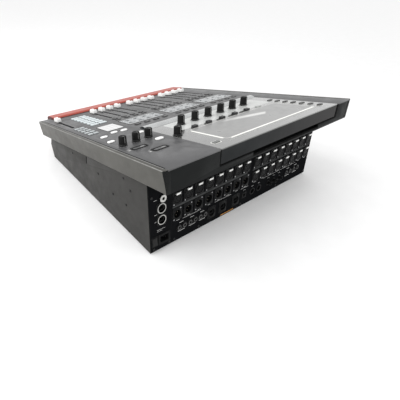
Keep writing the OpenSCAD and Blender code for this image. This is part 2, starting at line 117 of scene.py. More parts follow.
PANEL_V = lbox("rear_panel")[1][1]
E_ZERO = -201.2
PANEL = DECK @ Matrix(((1, 0, 0, 0), (0, 0, 1, PANEL_V / 1000), (0, -1, 0, E_ZERO / 1000), (0, 0, 0, 1)))

# --------------------------------------------------------------- materials
TREE = {}


def material(name, base, rough=0.5, metal=0.0, grain=0.0, grain_scale=1400.0, var=0.12,
             var_scale=18.0, rvar=0.08, wear=0.0, wear_col=None, coat=0.0, coat_rough=0.08,
             spec=0.5, glow=0.0, glow_col=None, brushed=None, smudge=0.0, trans=0.0, ior=1.5, rear_shade=None, line=None, fade=None):
    m = bpy.data.materials.new(name)
    m.use_nodes = True
    t = m.node_tree
    for n in list(t.nodes):
        t.nodes.remove(n)
    N, L = t.nodes, t.links
    out = N.new("ShaderNodeOutputMaterial")
    b = N.new("ShaderNodeBsdfPrincipled")
    L.new(b.outputs[0], out.inputs[0])
    tc = N.new("ShaderNodeTexCoord")
    co = tc.outputs["Object"]

    def noise(scale, detail=4.0, rough_=0.55, vec=None):
        n = N.new("ShaderNodeTexNoise")
        n.inputs["Scale"].default_value = scale
        n.inputs["Detail"].default_value = detail
        n.inputs["Roughness"].default_value = rough_
        L.new(vec or co, n.inputs["Vector"])
        return n.outputs["Fac"]

    def ramp(src, lo, hi, a=0.0, c=1.0):
        n = N.new("ShaderNodeMapRange")
        n.inputs["From Min"].default_value = lo
        n.inputs["From Max"].default_value = hi
        n.inputs["To Min"].default_value = a
        n.inputs["To Max"].default_value = c
        L.new(src, n.inputs["Value"])
        return n.outputs["Result"]

    def mix(fac, ca, cb):
        n = N.new("ShaderNodeMix")
        n.data_type = "RGBA"
        if isinstance(fac, float):
            n.inputs[0].default_value = fac
        else:
            L.new(fac, n.inputs[0])
        for sock, c in ((n.inputs[6], ca), (n.inputs[7], cb)):
            if isinstance(c, tuple):
                sock.default_value = c
            else:
                L.new(c, sock)
        return n.outputs[2]

    base4 = tuple(base) + (1.0,)
    dark = tuple(c * (1 - var) for c in base) + (1.0,)
    light = tuple(min(1.0, c * (1 + var)) for c in base) + (1.0,)
    vec = None
    if brushed is not None:
        mp = N.new("ShaderNodeMapping")
        mp.inputs["Scale"].default_value = brushed
        L.new(co, mp.inputs["Vector"])
        vec = mp.outputs["Vector"]
    col = mix(ramp(noise(var_scale), 0.35, 0.65), dark, light)
    fine = noise(grain_scale, 3.0, 0.6, vec)
    speck = tuple(min(1.0, c * 1.5 + 0.004) for c in base) + (1.0,)
    col = mix(ramp(fine, 0.60, 0.78, 0.0, 0.35), col, speck)
    if smudge:
        col = mix(ramp(noise(9.0, 6.0, 0.7), 0.52, 0.75, 0.0, smudge), col,
                  tuple(min(1.0, c * 1.25 + 0.02) for c in base) + (1.0,))
    if fade:
        # slow change of tone along the length of a part
        sx = N.new("ShaderNodeSeparateXYZ")
        L.new(co, sx.inputs[0])
        col = mix(ramp(sx.outputs["X"], fade[0], fade[1]), col, tuple(fade[2]) + (1.0,))
    if wear:
        bv = N.new("ShaderNodeBevel")
        bv.samples = 4
        bv.inputs["Radius"].default_value = 0.0012
        ge = N.new("ShaderNodeNewGeometry")
        dp = N.new("ShaderNodeVectorMath")
        dp.operation = "DOT_PRODUCT"
        L.new(bv.outputs[0], dp.inputs[0])
        L.new(ge.outputs["Normal"], dp.inputs[1])
        edge = ramp(dp.outputs["Value"], 0.995, 0.90, 0.0, 1.0)
        mm = N.new("ShaderNodeMath")
        mm.operation = "MULTIPLY"
        L.new(edge, mm.inputs[0])
        L.new(ramp(noise(120.0, 5.0, 0.7), 0.40, 0.62, 0.15, wear), mm.inputs[1])
        wc = wear_col or tuple(min(1.0, c * 2.2 + 0.05) for c in base)
        col = mix(mm.outputs[0], col, tuple(wc) + (1.0,))

    def facing(axis):
        g_ = N.new("ShaderNodeNewGeometry")
        d_ = N.new("ShaderNodeVectorMath")
        d_.operation = "DOT_PRODUCT"
        L.new(g_.outputs["Normal"], d_.inputs[0])
        d_.inputs[1].default_value = tuple(axis)
        return d_.outputs["Value"]

    def times(p, q):
        n = N.new("ShaderNodeMath")
        n.operation = "MULTIPLY"
        L.new(p, n.inputs[0])
        L.new(q, n.inputs[1])
        return n.outputs[0]

    if line:
        # painted highlight: the faces that lean between the top and the side are coloured lighter, standing in for the
        # light the chamfered edge catches
        up = facing(EU)
        col = mix(times(times(ramp(up, 0.30, 0.45), ramp(up, 0.97, 0.88)), ramp(noise(60.0, 5.0, 0.7), 0.30, 0.60, 0.45, 1.0)),
                  col, tuple(line) + (1.0,))
    if rear_shade:
        # painted shade: faces turned away from the operator are coloured darker, with less specular, standing in for
        # the shade the rear faces are in
        rear = ramp(facing(ES), 0.15, 0.45)
        col = mix(rear, col, tuple(rear_shade) + (1.0,))
        L.new(ramp(rear, 0.0, 1.0, spec, 0.08), b.inputs["Specular IOR Level"])
    L.new(col, b.inputs["Base Color"])
    r = ramp(noise(var_scale * 2.3, 5.0, 0.6), 0.3, 0.7, max(0.02, rough - rvar), min(1.0, rough + rvar))
    L.new(r, b.inputs["Roughness"])
    b.inputs["Metallic"].default_value = metal
    b.inputs["Coat Weight"].default_value = coat
    b.inputs["Coat Roughness"].default_value = coat_rough
    if not rear_shade:
        b.inputs["Specular IOR Level"].default_value = spec
    b.inputs["IOR"].default_value = ior
    b.inputs["Transmission Weight"].default_value = trans
    if glow:
        b.inputs["Emission Color"].default_value = tuple(glow_col or base) + (1.0,)
        b.inputs["Emission Strength"].default_value = glow
    if grain:
        bp = N.new("ShaderNodeBump")
        bp.inputs["Strength"].default_value = grain
        bp.inputs["Distance"].default_value = 0.0002
        L.new(fine, bp.inputs["Height"])
        L.new(bp.outputs[0], b.inputs["Normal"])
    m.diffuse_color = base4
    TREE[name] = m
    return m


# rear_shade is painted shade on the faces of the side and lower paint that turn to the rear
M_SIDE = material("powder_side", (0.074, 0.072, 0.065), 0.50, grain=0.35, grain_scale=1500, var=0.10, wear=0.8, smudge=0.10, spec=0.30,
                  # line is the painted highlight along the chamfer of the cheeks' top edge
                  rear_shade=(0.010, 0.011, 0.011), line=(0.24, 0.24, 0.23))
M_LOWER = material("powder_lower", (0.034, 0.033, 0.031), 0.55, grain=0.35, grain_scale=1500, var=0.10, wear=0.5, smudge=0.12, spec=0.25,
                   rear_shade=(0.006, 0.006, 0.006))
M_DECK = material("powder_deck", (0.068, 0.068, 0.070), 0.42, grain=0.30, grain_scale=1700, var=0.08, wear=0.6, smudge=0.12, spec=0.62)
# painted shade: the rear paint is coloured darker than the side paint, standing in for the shade the rear faces are in
M_REAR = material("rear_black_painted_shade", (0.0105, 0.0115, 0.0115), 0.50, grain=0.20, grain_scale=1500, wear=0.3, smudge=0.15, spec=0.08)
M_PANEL = material("panel_black", (0.0075, 0.0078, 0.0085), 0.55, grain=0.15, grain_scale=1500, wear=0.3, spec=0.0)
M_PLASTIC = material("moulded_black", (0.008, 0.008, 0.008), 0.42, grain=0.25, grain_scale=2600, wear=0.25, spec=0.25)
M_KNOB = material("knob_rubber", (0.006, 0.006, 0.006), 0.60, grain=0.3, grain_scale=3000, wear=0.20, spec=0.18)
M_SKIRT = material("knob_skirt", (0.012, 0.012, 0.012), 0.36, grain=0.1, wear=0.3, spec=0.3)
M_RED = material("rest_red", (0.40, 0.078, 0.056), 0.42, grain=0.5, grain_scale=2200, var=0.06, var_scale=16, coat=0.08, coat_rough=0.3, spec=0.3)
M_REDD = material("rest_end_dark", (0.075, 0.014, 0.014), 0.5, grain=0.4, grain_scale=2200, spec=0.2)
M_RUBBER = material("foot_rubber", (0.012, 0.012, 0.012), 0.8, grain=0.5, grain_scale=1800, spec=0.2)
M_CHROME = material("latch_metal", (0.82, 0.82, 0.80), 0.24, metal=0.85, grain=0.15, grain_scale=2000, var=0.06)
M_ALU = material("barrel_aluminium", (0.50, 0.51, 0.51), 0.26, metal=0.85, grain=0.30, grain_scale=900,
                 brushed=(0.06, 1.0, 1.0), var=0.10, var_scale=24, coat=0.25, smudge=0.25)
M_STEEL = material("inner_steel", (0.42, 0.42, 0.43), 0.4, metal=0.9, grain=0.2, grain_scale=900, var=0.1)
# the glow on the fader caps is painted light: the caps are no lamps
M_WHITE = material("cap_white", (0.80, 0.80, 0.79), 0.36, grain=0.12, grain_scale=2500, var=0.03, coat=0.2, spec=0.4, glow=0.06)
M_MARK = material("cap_line", (0.02, 0.02, 0.02), 0.5, spec=0.2)
M_KEYW = material("key_lit_white", (0.55, 0.59, 0.60), 0.36, grain=0.1, grain_scale=2500, var=0.04, glow=0.10, glow_col=(0.75, 0.94, 1.0), spec=0.3)
# the glow on the white keys is painted light that brightens them
M_KEYO = material("key_white", (0.80, 0.80, 0.79), 0.34, grain=0.1, grain_scale=2500, var=0.03, coat=0.15, glow=0.14, spec=0.3)
M_KEYG = material("key_grey", (0.42, 0.45, 0.46), 0.38, grain=0.15, grain_scale=2500, var=0.06, wear=0.3, spec=0.35)
M_KEYP = material("key_pale", (0.42, 0.43, 0.42), 0.34, grain=0.1, grain_scale=2500, var=0.05, spec=0.4)
M_KEYM = material("key_mid", (0.13, 0.135, 0.13), 0.36, grain=0.1, grain_scale=2500, var=0.05, wear=0.3, spec=0.4)
M_KEYD = material("key_dark", (0.016, 0.016, 0.017), 0.36, grain=0.2, grain_scale=2600, wear=0.3, spec=0.35)
M_PAD = material("pad_glass", (0.62, 0.62, 0.62), 0.22, var=0.03, coat=0.5, coat_rough=0.05, glow=0.03)
M_STRIP = material("strip_glass", (0.030, 0.034, 0.038), 0.16, var=0.06, coat=0.9, coat_rough=0.04)
M_CELL = material("strip_cell", (0.27, 0.29, 0.30), 0.26, var=0.05, coat=0.6, coat_rough=0.05)
M_INK = material("strip_ink", (0.022, 0.024, 0.028), 0.5, spec=0.2)
M_BEZEL = material("bezel_glass", (0.085, 0.086, 0.083), 0.20, var=0.08, coat=1.0, coat_rough=0.10, ior=1.6, smudge=0.15)
M_ACTIVE = material("active_glass", (0.215, 0.215, 0.212), 0.34, var=0.05, coat=0.6, coat_rough=0.22, ior=1.30, smudge=0.16)
M_SATIN = material("satin_band", (0.50, 0.51, 0.50), 0.42, var=0.06, var_scale=22, coat=0.35, coat_rough=0.25, smudge=0.22)
# painted highlight: the pale rim colours, the brighter one glowing, stand in for the light caught along the edges of
# the display and round the menu keys
M_RIM = material("glass_rim", (0.80, 0.80, 0.76), 0.3, var=0.05, coat=0.4, glow=0.10)
M_RIM3 = material("glass_rim_soft", (0.52, 0.52, 0.50), 0.3, var=0.08, coat=0.4)
M_RIM2 = material("glass_rim_grey", (0.36, 0.37, 0.35), 0.3, var=0.10, coat=0.4)
M_HOUSE = material("screen_housing", (0.034, 0.036, 0.037), 0.50, grain=0.12, grain_scale=1800, wear=0.35, smudge=0.2, spec=0.0,
                   fade=(0.10, -0.21, (0.074, 0.073, 0.073)))
# black felt colour; also painted shade in the strips under the finger recess and round the screen-unit opening
M_FELT_AND_SHADE = material("black_felt_and_painted_shade", (0.004, 0.004, 0.004), 0.95, grain=0.8, grain_scale=2600, spec=0.1)
# grey print; also the painted highlight line along the top of the cheeks
M_PRINT_AND_GLINT = material("grey_print_and_edge_highlight", (0.24, 0.24, 0.235), 0.55, var=0.08, spec=0.3)
M_BAND = material("print_band", (0.060, 0.062, 0.062), 0.5, var=0.12, spec=0.0)
M_PRINTW = material("print_white", (0.48, 0.48, 0.47), 0.5, var=0.08, spec=0.3)
# the glow on the amber stripe is painted light: it is print, not a lamp
M_AMBER = material("print_amber", (0.85, 0.40, 0.10), 0.5, var=0.08, glow=0.15)
M_BOARD = material("circuit_board", (0.02, 0.09, 0.045), 0.4, grain=0.1, var=0.2)
M_SOCKET = material("socket_black", (0.0055, 0.0058, 0.006), 0.40, grain=0.2, grain_scale=2400, wear=0.5, spec=0.08)
M_NUT = material("jack_ring", (0.50, 0.50, 0.48), 0.3, metal=0.9, grain=0.1)
M_NUTD = material("jack_ring_dark", (0.10, 0.10, 0.10), 0.35, metal=0.8, grain=0.1)
M_GOLD = material("contact_pin", (0.16, 0.14, 0.11), 0.3, metal=1.0)
M_LED = material("led_green", (0.10, 0.55, 0.22), 0.3, glow=1.2, glow_col=(0.15, 0.9, 0.35))


# -------------------------------------------------------- CAD node finishes
def smooth_group():
    g = bpy.data.node_groups.new("smooth_by_angle", "GeometryNodeTree")
    g.interface.new_socket("Geometry", in_out="INPUT", socket_type="NodeSocketGeometry")
    g.interface.new_socket("Geometry", in_out="OUTPUT", socket_type="NodeSocketGeometry")
    N, L = g.nodes, g.links
    i, o = N.new("NodeGroupInput"), N.new("NodeGroupOutput")
    rem = N.new("GeometryNodeRemoveAttribute")
    rem.inputs["Name"].default_value = "custom_normal"
    s1 = N.new("GeometryNodeSetShadeSmooth")
    s1.domain = "FACE"
    s1.inputs["Shade Smooth"].default_value = True
    s2 = N.new("GeometryNodeSetShadeSmooth")
    s2.domain = "EDGE"
    s2.inputs["Shade Smooth"].default_value = False
    ang = N.new("GeometryNodeInputMeshEdgeAngle")
    cmp_ = N.new("FunctionNodeCompare")
    cmp_.data_type = "FLOAT"
    cmp_.operation = "GREATER_THAN"
    cmp_.inputs[1].default_value = math.radians(31)
    L.new(ang.outputs[0], cmp_.inputs[0])
    L.new(i.outputs[0], rem.inputs["Geometry"])
    L.new(rem.outputs["Geometry"], s1.inputs["Geometry"])
    L.new(s1.outputs["Geometry"], s2.inputs["Geometry"])
    L.new(cmp_.outputs[0], s2.inputs["Selection"])
    L.new(s2.outputs["Geometry"], o.inputs[0])
    return g


SMOOTH = smooth_group()


def finish_node(node, mat, bevel=0.4, seg=2):
    o = NODES[node]
    if not o.material_slots:
        o.data.materials.append(mat)
    for s in o.material_slots:
        s.link = "OBJECT"
        s.material = mat
    w = o.modifiers.new("weld", "WELD")
    w.merge_threshold = 1e-6
    d = o.modifiers.new("planar", "DECIMATE")
    d.decimate_type = "DISSOLVE"
    d.angle_limit = math.radians(0.6)
    d.delimit = {"SHARP"}
    if bevel:
        b = o.modifiers.new("bevel", "BEVEL")
        b.width = bevel / 1000
        b.segments = seg
        b.limit_method = "ANGLE"
        b.angle_limit = math.radians(34)
        b.use_clamp_overlap = True
        b.miter_outer = "MITER_ARC"
    g = o.modifiers.new("smooth", "NODES")
    g.node_group = SMOOTH


FIN = {
    "base_shell": (M_LOWER, 0.9), "rear_panel": (M_PANEL, 0.0), "side_cheeks": (M_SIDE, 1.2),
    "top_deck": (M_DECK, 0.25), "slab_pan": (M_REAR, 0.5), "screen_well": (M_REAR, 0.0),
    "feet": (M_RUBBER, 0.6), "screws": (M_PLASTIC, 0.2), "xlr_female": (M_SOCKET, 0.25),
    "xlr_male": (M_SOCKET, 0.25), "xlr_latches": (M_CHROME, 0.5), "jack_sockets": (M_SOCKET, 0.3),
    "data_sockets": (M_SOCKET, 0.25), "usb_midi_ports": (M_SOCKET, 0.25), "mains_inlet": (M_SOCKET, 0.3),
    "power_rocker": (M_PLASTIC, 0.4), "fader_units": (M_STEEL, 0.0), "fader_motors": (M_STEEL, 0.3),
    "knob_encoders": (M_STEEL, 0.0), "key_board": (M_BOARD, 0.0), "hinge_pins": (M_STEEL, 0.3),
    "power_supply": (M_STEEL, 0.3), "main_board": (M_BOARD, 0.0), "preamp_board": (M_BOARD, 0.0),
    "heat_sink": (M_STEEL, 0.0), "screen_body": (M_HOUSE, 0.8), "screen_module": (M_BOARD, 0.0),
}
for n, (mt, bv) in FIN.items():
    finish_node(n, mt, bv)


# ------------------------------------------------------------ mesh building
def rr(cx, cy, w, l, r, z, seg=5):
    """Ring of points round a rounded rectangle."""
    r = max(1e-3, min(r, w / 2 - 1e-3, l / 2 - 1e-3))
    pts = []
    for qx, qy, a0 in ((1, 1, 0), (-1, 1, 90), (-1, -1, 180), (1, -1, 270)):
        for i in range(seg + 1):
            a = math.radians(a0 + 90 * i / seg)
            pts.append((cx + qx * (w / 2 - r) + r * math.cos(a), cy + qy * (l / 2 - r) + r * math.sin(a), z))
    return pts


class Build:
    def __init__(self):
        self.v, self.f, self.m = [], [], []

    def loft(self, rings, mat=0, cap0=True, cap1=True, close=True):
        base = len(self.v)
        n = len(rings[0])
        for r in rings:
            self.v.extend(r)
        for i in range(len(rings) - 1):
            for j in range(n if close else n - 1):
                a, b = base + i * n + j, base + i * n + (j + 1) % n
                self.f.append((a, b, b + n, a + n))
                self.m.append(mat)
        if cap0:
            self.f.append(tuple(base + j for j in reversed(range(n))))
            self.m.append(mat)
        if cap1:
            k = base + (len(rings) - 1) * n
            self.f.append(tuple(k + j for j in range(n)))
            self.m.append(mat)

    def key(self, cx, cy, w, l, r, z0, z1, bev=0.4, dish=0.0, mat=0, seg=4):
        rings = [rr(cx, cy, w, l, r, z0, seg), rr(cx, cy, w, l, r, z1 - bev, seg),
                 rr(cx, cy, w - 0.6 * bev, l - 0.6 * bev, r, z1 - 0.3 * bev, seg),
                 rr(cx, cy, w - 2 * bev, l - 2 * bev, r, z1, seg)]
        if dish:
            for k, q in ((0.75, 0.35), (0.5, 0.7), (0.22, 0.95)):
                rings.append(rr(cx, cy, (w - 2 * bev) * k, (l - 2 * bev) * k, r * k, z1 - dish * q, seg))
        self.loft(rings, mat)

    def plate(self, cx, cy, w, l, r, z0, z1, mat=0, seg=4):
        self.loft([rr(cx, cy, w, l, r, z0, seg), rr(cx, cy, w, l, r, z1, seg)], mat)

    def frame(self, cx, cy, w, l, r, wall, z0, z1, mat=0, seg=5, bev=0.0):
        """Picture-frame ring with real thickness."""
        o0, o1 = rr(cx, cy, w, l, r, z0, seg), rr(cx, cy, w, l, r, z1, seg)
        ri = max(0.2, r - wall)
        i0, i1 = rr(cx, cy, w - 2 * wall, l - 2 * wall, ri, z0, seg), rr(cx, cy, w - 2 * wall, l - 2 * wall, ri, z1, seg)
        self.loft([i0, o0, o1, i1, i0], mat, cap0=False, cap1=False)

    def revolve(self, cx, cy, prof, n=48, mat=0, ripple=None, cap0=True, cap1=True):
        rings = []
        for k, (r, z) in enumerate(prof):
            ring = []
            for j in range(n):
                a = 2 * math.pi * j / n
                q = r + (ripple(k, j, n) if ripple else 0.0)
                ring.append((cx + q * math.cos(a), cy + q * math.sin(a), z))
            rings.append(ring)
        self.loft(rings, mat, cap0, cap1)

    def sweep_x(self, prof, xs, mat=0):
        """Closed (y, z) outlines, one per x."""
        self.loft([[(x, p[0], p[1]) for p in prof(x)] for x in xs], mat)

    def make(self, name, mats, body, slot=None, space=DECK, angle=32, bevel=0.0, replaces=(), subsurf=0):
        me = bpy.data.meshes.new(name)
        me.from_pydata([tuple(c / 1000 for c in p) for p in self.v], [], self.f)
        me.transform(space)
        me.validate()
        for mt in (mats if isinstance(mats, (list, tuple)) else [mats]):
            me.materials.append(mt)
        me.polygons.foreach_set("material_index", self.m[: len(me.polygons)])
        me.polygons.foreach_set("use_smooth", [True] * len(me.polygons))
        bm_fix(me)
        me.set_sharp_from_angle(angle=math.radians(angle))
        o = bpy.data.objects.new(name, me)
        bpy.context.scene.collection.objects.link(o)
        if bevel:
            b = o.modifiers.new("bevel", "BEVEL")
            b.width = bevel / 1000
            b.segments = 2
            b.limit_method = "ANGLE"
            b.angle_limit = math.radians(35)
        if subsurf:
            s = o.modifiers.new("sub", "SUBSURF")
            s.levels = s.render_levels = subsurf
        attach(o, body)
        if replaces:
            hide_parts(*replaces)
        return o


def bm_fix(me):
    import bmesh
    bm = bmesh.new()
    bm.from_mesh(me)
    bmesh.ops.recalc_face_normals(bm, faces=bm.faces)
    bm.to_mesh(me)
    bm.free()


def centre(node):
    lo, hi = lbox(node)
    return (lo + hi) / 2


# ------------------------------------------------------------------- faders
FADERS = ["fader_cap_%02d" % i for i in range(1, 13)] + ["fader_cap_main"]
FADER_BODY = {n: ("fader_main" if n.endswith("main") else "fader_" + n[-2:]) for n in FADERS}
fader_x = {}
for n in FADERS:
    lo, hi = lbox(n)
    c = (lo + hi) / 2
    fader_x[n] = c[0]
    cy = c[1]
    W, Lc = 13.0, 24.0
    b = Build()
    # sculpted cap: cross sections along the slope, waisted sides and a raised front and rear brow
    prof = [(-12.0, 2.6, 6.6, 0.97), (-11.7, 2.6, 8.2, 1.0), (-11.0, 2.6, 10.6, 1.0), (-9.8, 2.6, 12.6, 0.985),
            (-8.6, 2.6, 13.4, 0.97), (-7.4, 2.6, 13.3, 0.955), (-5.6, 2.6, 12.3, 0.93), (-3.6, 2.6, 11.6, 0.915),
            (-1.2, 2.6, 11.3, 0.91), (-0.45, 2.6, 11.3, 0.91), (0.45, 2.6, 11.3, 0.91), (1.2, 2.6, 11.3, 0.91),
            (3.6, 2.6, 11.6, 0.915), (5.6, 2.6, 12.3, 0.93), (7.4, 2.6, 13.3, 0.955), (8.6, 2.6, 13.4, 0.97),
            (9.8, 2.6, 12.6, 0.985), (11.0, 2.6, 10.6, 1.0), (11.7, 2.6, 8.2, 1.0), (12.0, 2.6, 6.6, 0.97)]
    rings = []
    for y, z0, z1, k in prof:
        hw = W / 2 * k
        e = min(1.4, (z1 - z0) * 0.3)
        rings.append([(c[0] - hw, cy + y, z0), (c[0] + hw, cy + y, z0), (c[0] + hw, cy + y, z1 - e),
                      (c[0] + hw - 0.25 * e, cy + y, z1 - 0.35 * e), (c[0] + hw - 0.8 * e, cy + y, z1),
                      (c[0], cy + y, z1 + 0.12), (c[0] - hw + 0.8 * e, cy + y, z1),
                      (c[0] - hw + 0.25 * e, cy + y, z1 - 0.35 * e), (c[0] - hw, cy + y, z1 - e)])
    b.loft(rings, 0)
    # pointer line across the middle of the cap and lever blade through the slot
    b.plate(c[0], cy, 10.6, 0.7, 0.1, 11.2, 11.52, 1)
    b.plate(c[0], cy, 2.2, 7.6, 0.4, -9.2, 4.0, 2)
    b.plate(c[0], cy, 15.5, 13.5, 0.6, -15, -9.2, 1)
    b.make("cap_" + n, [M_WHITE, M_MARK, M_STEEL], FADER_BODY[n], "pad_white", replaces=[n])

# brush strips that close each slot on both sides of the lever, with a raised slot rim
b, r = Build(), Build()
v0, v1 = 66.5, 177.5
for n in FADERS:
    x = fader_x[n]
    for s in (-1, 1):
        b.plate(x + s * 1.72, (v0 + v1) / 2, 0.9, v1 - v0 - 1.0, 0.1, -2.2, -1.2)
    r.frame(x, (v0 + v1) / 2, 6.2, v1 - v0 + 2.4, 2.9, 1.05, -0.05, 0.28)
b.make("slot_brushes", M_FELT_AND_SHADE, "chassis", "black_plastic")
r.make("slot_rims", M_FELT_AND_SHADE, "chassis", "black_plastic")

# printed scale beside each slot
b = Build()
for n in FADERS:
    x = fader_x[n]
    for k in range(11):
        y = 72 + 10 * k
        wl = 5.6 if k % 5 == 0 else 4.0
        for s in (-1, 1):
            b.plate(x + s * (4.8 + wl / 2), y, wl, 0.9, 0.05, -0.02, 0.06)
b.make("fader_scales", M_PRINTW, "chassis", "pad_white")

# ----------------------------------------------------------------- displays
strips = islands("channel_displays")
b, rim = Build(), Build()
for i, (lo, hi) in enumerate(strips):
    c, s = (lo + hi) / 2, hi - lo
    b.key(c[0], c[1], s[0], s[1], 1.8, -5.5, 0.30, 0.3, mat=0)
    # four label cells and a meter bar under each
    for k in range(4):
        x = lo[0] + s[0] * (k + 0.5) / 4
        b.plate(x, c[1] + 11, s[0] / 4 - 3, 24, 1.0, 0.28, 0.34, 1)
        b.plate(x, c[1] - 12, s[0] / 4 - 3, 17, 1.0, 0.28, 0.34, 1)
        b.plate(x, c[1] + 17, s[0] / 4 - 9, 3.4, 0.4, 0.33, 0.37, 2)
        b.plate(x + 3.5 - 2.0 * ((k + i) % 3), c[1] + 11.8, 9.0, 3.6, 0.6, 0.33, 0.37, 2)
        b.plate(x - 4.0 + 2.5 * ((k + 2 * i) % 3), c[1] - 9.8, 7.5, 3.0, 0.6, 0.33, 0.37, 2)
        b.plate(x - 2.5, c[1] + 9.5, s[0] / 4 - 14, 1.4, 0.2, 0.33, 0.37, 2)
        b.plate(x, c[1] - 6.5, s[0] / 4 - 8, 1.0, 0.2, 0.33, 0.37, 2)
        b.plate(x - 3, c[1] - 13, s[0] / 4 - 15, 3.0, 0.4, 0.33, 0.37, 2)
        for q in range(6):
            b.plate(x - 8.5 + 3.4 * q, c[1] - 17.5, 1.8, 1.5 + 0.7 * ((q * 5 + k * 3 + i) % 4), 0.2, 0.33, 0.37, 2)
            b.plate(x - 8.0 + 3.2 * q, c[1] + 3.4, 2.0, 1.6 + 0.5 * ((q * 3 + k + 2 * i) % 3), 0.2, 0.33, 0.37, 2)
    rim.frame(c[0], c[1], s[0] + 4.4, s[1] + 4.4, 3.2, 2.1, -0.05, 0.45)
b.make("strip_displays", [M_STRIP, M_CELL, M_INK], "chassis", "display_glass", replaces=["channel_displays"], angle=12)
rim.make("strip_rims", M_PLASTIC, "chassis", "black_plastic", bevel=0.15)

(lo, hi) = islands("control_display")[0]
c, s = (lo + hi) / 2, hi - lo
b = Build()
b.key(c[0], c[1], s[0], s[1], 1.8, -5.5, 0.75, 0.35, mat=0)
for k in range(4):
    b.plate(c[0], lo[1] + 7 + k * 13.3, s[0] - 7, 0.5, 0.1, 0.74, 0.80, 1)
for k in range(3):
    b.plate(c[0] - s[0] / 4 + k * s[0] / 4, c[1], 0.5, s[1] - 8, 0.1, 0.74, 0.80, 1)
b.make("pad_display", [M_PAD, M_CELL], "chassis", "pad_white", replaces=["control_display"], angle=12)
b = Build()
b.frame(c[0], c[1], s[0] + 3.6, s[1] + 3.6, 3.0, 1.7, -0.05, 0.5)
b.make("pad_rim", M_PLASTIC, "chassis", "black_plastic", bevel=0.15)


# --------------------------------------------------------------------- keys
def keyset(node, body, mats, slot, r, up, dish=0.25, mark=None, name=None, rim=None, lift=0.0, light=None):
    b, rm = Build(), Build()
    for lo, hi in islands(node):
        c, s = (lo + hi) / 2, hi - lo
        pale = bool(light and light(c))
        hi = hi + np.array((0, 0, 0.0 if pale else lift))
        b.key(c[0], c[1], s[0], s[1], min(r, s[1] / 2 - 0.05), lo[2], hi[2], 0.45, dish, 2 if pale else 0)
        if mark == "bar":
            b.plate(c[0], c[1], s[0] * 0.42, 0.7, 0.1, hi[2] - dish - 0.02, hi[2] - dish * 0.6, 1)
        elif mark == "led":
            b.plate(c[0], c[1] + s[1] * 0.18, s[0] * 0.34, 1.1, 0.3, hi[2] - dish - 0.02, hi[2] - dish * 0.4, 1)
        if rim:
            rm.frame(c[0], c[1], s[0] + 2.3, s[1] + 2.3, r + 1.1, 0.8, -0.03, 0.16)
    o = b.make(name or node + "_caps", mats, body, slot, replaces=[node])
    if rim:
        rm.make((name or node) + "_gaps", rim, "chassis", "black_plastic")
    return o


keyset("grid_keys", "grid_key_set", [M_KEYW, M_PRINT_AND_GLINT], "pad_white", 1.6, 1.8, 0.3, "bar", rim=M_PLASTIC)
gk = [((lo + hi) / 2, hi - lo) for lo, hi in islands("grid_keys")]
gmid = sum(c[0] for c, s in gk) / len(gk)
b = Build()
for c, s in gk:
    if c[0] > gmid:
        b.plate(gmid, c[1] + s[1] / 2 + 1.2, 6.0, 4.6, 0.8, -0.02, 0.20)
b.make("grid_key_marks", M_FELT_AND_SHADE, "chassis", "black_plastic")
keyset("channel_keys", "channel_key_set", [M_KEYD, M_PRINTW], "black_plastic", 1.4, 1.6, 0.25, "led", rim=M_PLASTIC)
keyset("main_keys", "main_key_set", [M_KEYG, M_PRINTW], "key_grey", 1.4, 1.6, 0.25, "bar", rim=M_PLASTIC)
keyset("white_keys", "white_key_set", [M_KEYO, M_PRINT_AND_GLINT], "pad_white", 5.4, 2.0, 0.3, None, rim=M_PLASTIC)
SK = [((lo + hi) / 2)[0] for lo, hi in islands("screen_keys")]
keyset("screen_keys", "screen_key_set", [M_KEYD, M_PRINT_AND_GLINT, M_KEYP], "black_plastic", 1.4, 2.0, 0.3, None, lift=2.4,
       light=lambda c: c[0] < min(SK) + 1)
keyset("menu_keys", "menu_key_set", [M_KEYD, M_PRINT_AND_GLINT, M_KEYM], "black_plastic", 2.6, 1.4, 0.3, "bar", lift=0.6,
       light=lambda c: c[0] > 100)

# -------------------------------------------------------------------- knobs
KNOBS = {"deck_knob_1": "encoder_1", "deck_knob_2": "encoder_2", "deck_knob_3": "encoder_3",
         "screen_wheel": "screen_encoder_wheel"}
for i in range(1, 7):
    KNOBS["screen_knob_%d" % i] = "screen_encoder_%d" % i
for n, body in KNOBS.items():
    lo, hi = lbox(n)
    c = (lo + hi) / 2
    R, top = (hi[0] - lo[0]) / 2, hi[2]
    b = Build()

    def ribs(k, j, nn):
        if k in (0, 9, 10, 11, 12, 13):
            return 0.0
        return -0.42 if j % 4 in (0,) else (0.0 if j % 4 in (2,) else -0.14)

    g = R - 0.8
    b.revolve(c[0], c[1], [(g - 0.5, 3.6), (g, 4.2), (g, 6), (g - 0.05, 8), (g - 0.1, 10), (g - 0.15, 12), (g - 0.2, 14),
                           (g - 0.25, top - 3), (g - 0.35, top - 1.6), (g - 0.8, top - 0.7), (g - 1.5, top - 0.15),
                           (g - 2.2, top), (g - 3.0, top - 0.35), (0.6, top - 0.45)], 96, 0, ribs, cap0=False)
    b.revolve(c[0], c[1], [(R - 0.35, 0.7), (R, 1.1), (R, 2.8), (R - 0.5, 3.6), (g - 1.0, 3.8)], 64, 1, cap0=True, cap1=True)
    b.revolve(c[0], c[1], [(2.95, -8), (2.95, 1.0)], 32, 2)
    # pointer: raised bar on the crown that runs down the grip
    b.plate(c[0], c[1] + (g - 2.4) / 2 + 1.4, 1.1, g - 2.6, 0.3, top - 0.5, top + 0.02, 3)
    b.plate(c[0], c[1] + g - 0.35, 1.0, 0.8, 0.2, 6.0, top - 2.0, 3)
    b.make("grip_" + n, [M_KNOB, M_SKIRT, M_STEEL, M_PRINT_AND_GLINT], body, "black_plastic", replaces=[n])

